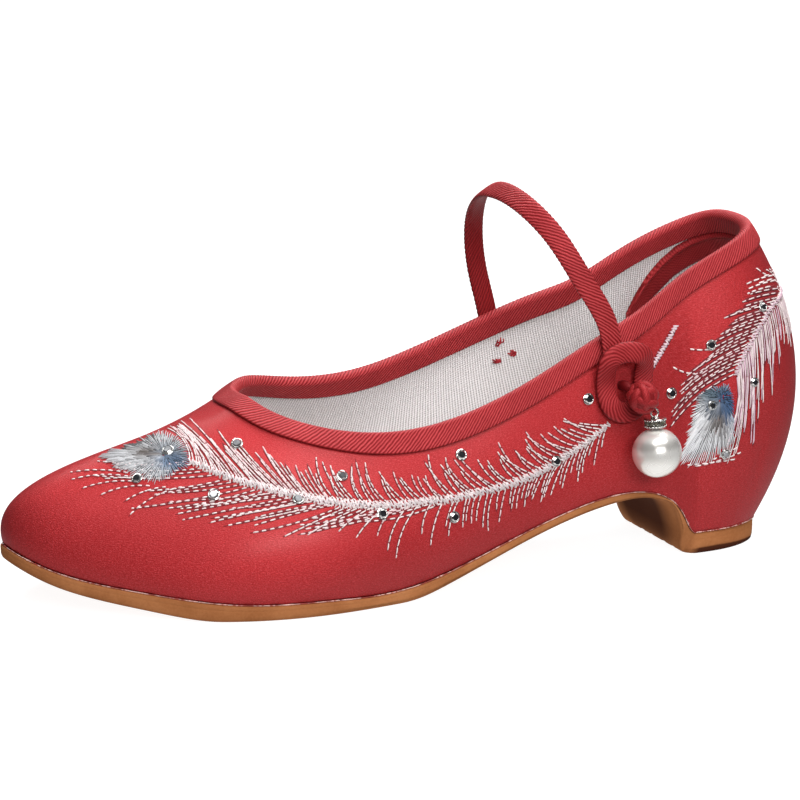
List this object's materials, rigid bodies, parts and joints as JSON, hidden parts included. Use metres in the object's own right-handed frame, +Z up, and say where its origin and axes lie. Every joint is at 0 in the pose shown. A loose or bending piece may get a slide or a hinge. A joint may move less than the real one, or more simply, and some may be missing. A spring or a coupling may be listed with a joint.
{
  "type": "hanfu shoe",
  "caption": "Left embroidered satin shoe with a low covered heel, bound collar, arched instep strap, frog loop, knot button and swinging pearl pendant.",
  "frame": {"origin": "middle of the standing shoe's box, on the floor", "axes": "+X towards the toe, +Y towards the outer (lateral) side of the left foot, +Z up"},
  "size_m": [0.2458, 0.0903, 0.1129],
  "materials": {
    "gum_rubber": "matt tan gum rubber",
    "heel_block": "plain, covered by the satin",
    "red_satin": "satin weave with a soft sheen",
    "canvas": "off-white cotton canvas",
    "red_twill": "matt diagonal twill",
    "silver_metal": "polished silver plate",
    "pearl_lacquer": "pearl lacquer",
    "embroidery_thread": "lustrous thread",
    "rhinestone": "faceted, foil-backed"
  },
  "bodies": {
    "shoe": {"outsole": "gum_rubber", "heel": "heel_block", "upper": "red_satin", "insole": "canvas", "collar_binding": "red_twill", "strap": "red_twill", "button_loop": "red_twill", "knot_button": "red_twill"},
    "pendant": {"pendant_eye": "silver_metal", "rondelle": "silver_metal", "pearl": "pearl_lacquer"}
  },
  "joints": [
    {"name": "pendant_swing", "type": "hinge", "parent": "shoe", "child": "pendant", "pos_m": [-0.06311, 0.03721, 0.0487], "axis": [-0.052, 0.9986, 0], "range_deg": [-30, 100]}
  ]
}
